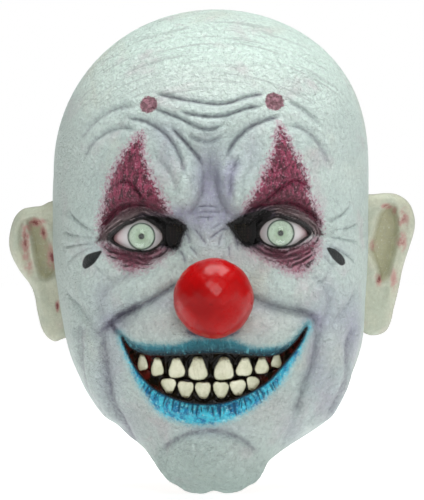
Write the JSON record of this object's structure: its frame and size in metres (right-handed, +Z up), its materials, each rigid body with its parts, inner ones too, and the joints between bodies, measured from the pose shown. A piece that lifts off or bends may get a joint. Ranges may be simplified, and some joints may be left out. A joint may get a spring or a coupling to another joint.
{
  "type": "latex halloween mask",
  "caption": "Hollow full-head latex clown mask with ball nose, glassy eyes, painted lips and a toothy grin, pulled on from below.",
  "frame": {"origin": "centre of the neck opening, where the wearer's head goes in", "axes": "+Z up, the face looks along -Y, +X is the mask's own left (the viewer's right)"},
  "size_m": [0.261, 0.2693, 0.3043],
  "materials": {
    "latex": "satin, airbrushed",
    "ear_latex": "satin, airbrushed",
    "nose_red": "gloss varnish over red",
    "sclera": "gloss",
    "iris": "painted",
    "cornea": "clear",
    "vision_mesh": "matte black weave",
    "gum": "gloss varnish",
    "enamel": "gloss, stained edges"
  },
  "bodies": {
    "root": {"latex_skin": "latex", "left_ear": "ear_latex", "right_ear": "ear_latex", "nose_ball": "nose_red", "left_eye_dome": "sclera", "left_iris": "iris", "left_cornea": "cornea", "left_vision_mesh": "vision_mesh", "right_eye_dome": "sclera", "right_iris": "iris", "right_cornea": "cornea", "right_vision_mesh": "vision_mesh", "upper_gum": "gum", "lower_gum": "gum", "upper_tooth_1": "enamel", "upper_tooth_2": "enamel", "upper_tooth_3": "enamel", "upper_tooth_4": "enamel", "upper_tooth_5": "enamel", "upper_tooth_6": "enamel", "upper_tooth_7": "enamel", "upper_tooth_8": "enamel", "lower_tooth_1": "enamel", "lower_tooth_2": "enamel", "lower_tooth_3": "enamel", "lower_tooth_4": "enamel", "lower_tooth_5": "enamel", "lower_tooth_6": "enamel"}
  },
  "joints": []
}
